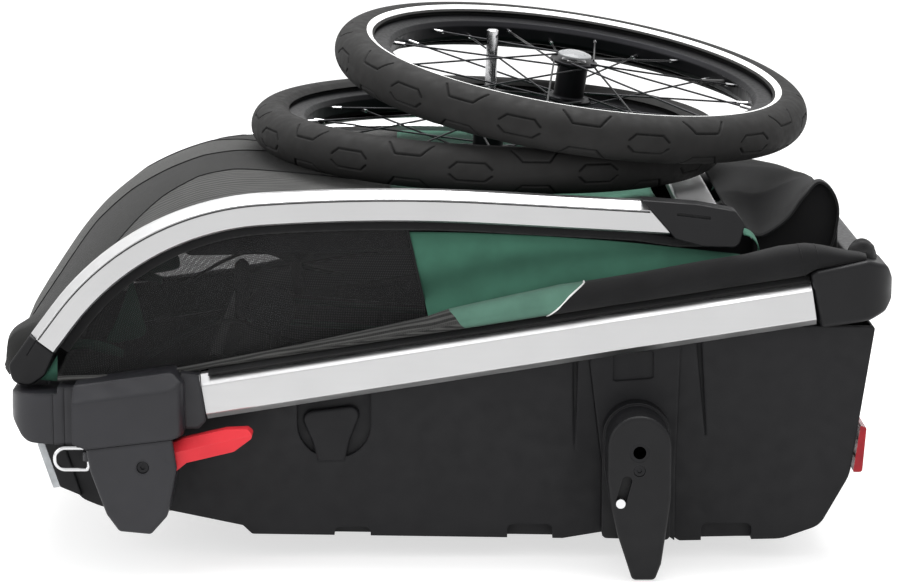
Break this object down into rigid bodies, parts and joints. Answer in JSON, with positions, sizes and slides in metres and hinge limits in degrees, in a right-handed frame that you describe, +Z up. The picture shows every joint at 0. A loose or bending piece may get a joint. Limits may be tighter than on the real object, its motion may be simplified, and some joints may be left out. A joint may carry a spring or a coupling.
{
  "type": "child bicycle trailer",
  "caption": "Child bicycle trailer folded flat for storage: moulded tub, aluminium rails and roof bars, mesh cover, hitch housing and its wheels stacked on top.",
  "frame": {"origin": "centre of the base, on the floor plane of the wheel bracket feet", "axes": "+X to the rear of the trailer, -Y to the left (hitch) side, +Z up"},
  "size_m": [0.8651, 0.694, 0.5202],
  "materials": {
    "tub_plastic": "moulded, fine grain",
    "anodised_aluminium": "satin anodised",
    "black_plastic": "moulded, satin",
    "steel": "polished",
    "black_screw": "black oxide",
    "red_plastic": "satin",
    "clear_reflector": "prismatic, clear",
    "red_reflector": "prismatic, red",
    "seat_tube": "black powder coat",
    "pad_fabric": "woven",
    "black_fabric": "soft shell, fine weave",
    "mesh_fabric": "open mesh",
    "green_fabric": "woven",
    "tyre_rubber": "matt",
    "tube_rubber": "matt",
    "black_metal": "satin black",
    "black_alloy": "black anodised",
    "grey_plastic": "satin"
  },
  "bodies": {
    "base": {"tub": "tub_plastic", "rail_left": "anodised_aluminium", "rail_right": "anodised_aluminium", "rear_corner_left": "black_plastic", "rear_corner_right": "black_plastic", "front_corner_left": "black_plastic", "front_corner_right": "black_plastic", "lower_crossbars": "anodised_aluminium", "wheel_bracket_left": "black_plastic", "wheel_bracket_right": "black_plastic", "axle_socket_left": "steel", "axle_socket_right": "steel", "side_panel_left": "green_fabric", "side_panel_right": "green_fabric", "side_roll_left": "black_fabric", "side_roll_right": "black_fabric", "hitch_upper": "black_plastic", "hitch_lower": "black_plastic", "front_sleeve_right": "black_plastic", "housing_screws": "black_screw", "pivot_pins": "steel", "front_reflectors": "clear_reflector", "rear_reflectors": "red_reflector", "seat_frame": "seat_tube", "seat_pad": "pad_fabric", "rear_flap": "black_fabric"},
    "upper_frame": {"roof_bar_left": "anodised_aluminium", "roof_bar_right": "anodised_aluminium", "hinge_cap_left": "black_plastic", "hinge_cap_right": "black_plastic", "end_cap_left": "black_plastic", "end_cap_right": "black_plastic", "roof_crossbar": "anodised_aluminium", "roof_cover": "mesh_fabric"},
    "leg_left": {"support_leg_left": "anodised_aluminium"},
    "leg_right": {"support_leg_right": "anodised_aluminium"},
    "backrest": {"backrest_frame": "seat_tube", "backrest_pad": "pad_fabric"},
    "lower_wheel": {"lower_tyre": "tyre_rubber", "lower_inner_tube": "tube_rubber", "lower_rim": "black_alloy", "lower_spokes": "black_metal", "lower_spoke_nipples": "steel", "lower_hub": "black_alloy", "lower_hub_bearings": "steel"},
    "upper_wheel": {"upper_tyre": "tyre_rubber", "upper_inner_tube": "tube_rubber", "upper_rim": "black_alloy", "upper_spokes": "black_metal", "upper_spoke_nipples": "steel", "upper_hub": "black_alloy", "upper_hub_bearings": "steel"},
    "lower_axle_body": {"lower_axle": "steel"},
    "upper_axle_body": {"upper_axle": "steel"},
    "lower_button": {"lower_axle_button": "grey_plastic"},
    "upper_button": {"upper_axle_button": "grey_plastic"},
    "lever": {"hitch_lever": "red_plastic"},
    "loop": {"wire_loop": "steel"},
    "release_left": {"release_pin_left": "steel"},
    "release_right": {"release_pin_right": "steel"}
  },
  "joints": [
    {"name": "frame_fold", "type": "hinge", "parent": "base", "child": "upper_frame", "pos_m": [-0.413, 0, 0.197], "axis": [0, -1, 0], "range_deg": [0, 38]},
    {"name": "leg_swing_left", "type": "hinge", "parent": "upper_frame", "child": "leg_left", "pos_m": [0.262, -0.2495, 0.325], "axis": [0, -1, 0], "range_deg": [0, 90]},
    {"name": "leg_swing_right", "type": "hinge", "parent": "upper_frame", "child": "leg_right", "pos_m": [0.262, 0.2495, 0.325], "axis": [0, -1, 0], "range_deg": [0, 90]},
    {"name": "backrest_recline", "type": "hinge", "parent": "base", "child": "backrest", "pos_m": [0.19, 0, 0.15], "axis": [0, 1, 0], "range_deg": [0, 70]},
    {"name": "lower_wheel_lift", "type": "slide", "parent": "upper_frame", "child": "lower_wheel", "axis": [0.0418, -0.0436, 0.9982], "range_m": [0, 0.25]},
    {"name": "upper_wheel_lift", "type": "slide", "parent": "lower_wheel", "child": "upper_wheel", "axis": [0.0945, -0.0829, 0.9921], "range_m": [0, 0.25]},
    {"name": "lower_axle_spin", "type": "hinge", "parent": "lower_wheel", "child": "lower_axle_body", "pos_m": [0.0405, 0, 0.3965], "axis": [0.0418, -0.0436, 0.9982], "continuous": true},
    {"name": "upper_axle_spin", "type": "hinge", "parent": "upper_wheel", "child": "upper_axle_body", "pos_m": [0.127, -0.013, 0.4535], "axis": [0.1467, -0.1219, 0.9816], "continuous": true},
    {"name": "lower_button_press", "type": "slide", "parent": "lower_axle_body", "child": "lower_button", "axis": [0.0418, -0.0436, 0.9982], "range_m": [0, 0.003], "stiffness_N_per_m": 600, "springref_m": -0.002},
    {"name": "upper_button_press", "type": "slide", "parent": "upper_axle_body", "child": "upper_button", "axis": [-0.1467, 0.1219, -0.9816], "range_m": [0, 0.003], "stiffness_N_per_m": 600, "springref_m": -0.002},
    {"name": "lever_turn", "type": "hinge", "parent": "base", "child": "lever", "pos_m": [-0.274, -0.311, 0.117], "axis": [0, 1, 0], "range_deg": [0, 30], "stiffness_Nm_per_rad": 0.4, "springref_deg": -22.92},
    {"name": "loop_swing", "type": "hinge", "parent": "base", "child": "loop", "pos_m": [-0.353, -0.303, 0.112], "axis": [0, 0, 1], "range_deg": [-15, 70]},
    {"name": "release_slide_left", "type": "slide", "parent": "base", "child": "release_left", "axis": [0.2631, 0, 0.9648], "range_m": [0, 0.022], "stiffness_N_per_m": 200, "springref_m": -0.008},
    {"name": "release_slide_right", "type": "slide", "parent": "base", "child": "release_right", "axis": [0.2631, 0, 0.9648], "range_m": [0, 0.022], "stiffness_N_per_m": 200, "springref_m": -0.008}
  ],
  "couplings": [
    {"joint": "leg_swing_left", "follows": "frame_fold", "ratio": 2.3684},
    {"joint": "leg_swing_right", "follows": "frame_fold", "ratio": 2.3684},
    {"joint": "backrest_recline", "follows": "frame_fold", "ratio": 1.8421}
  ]
}
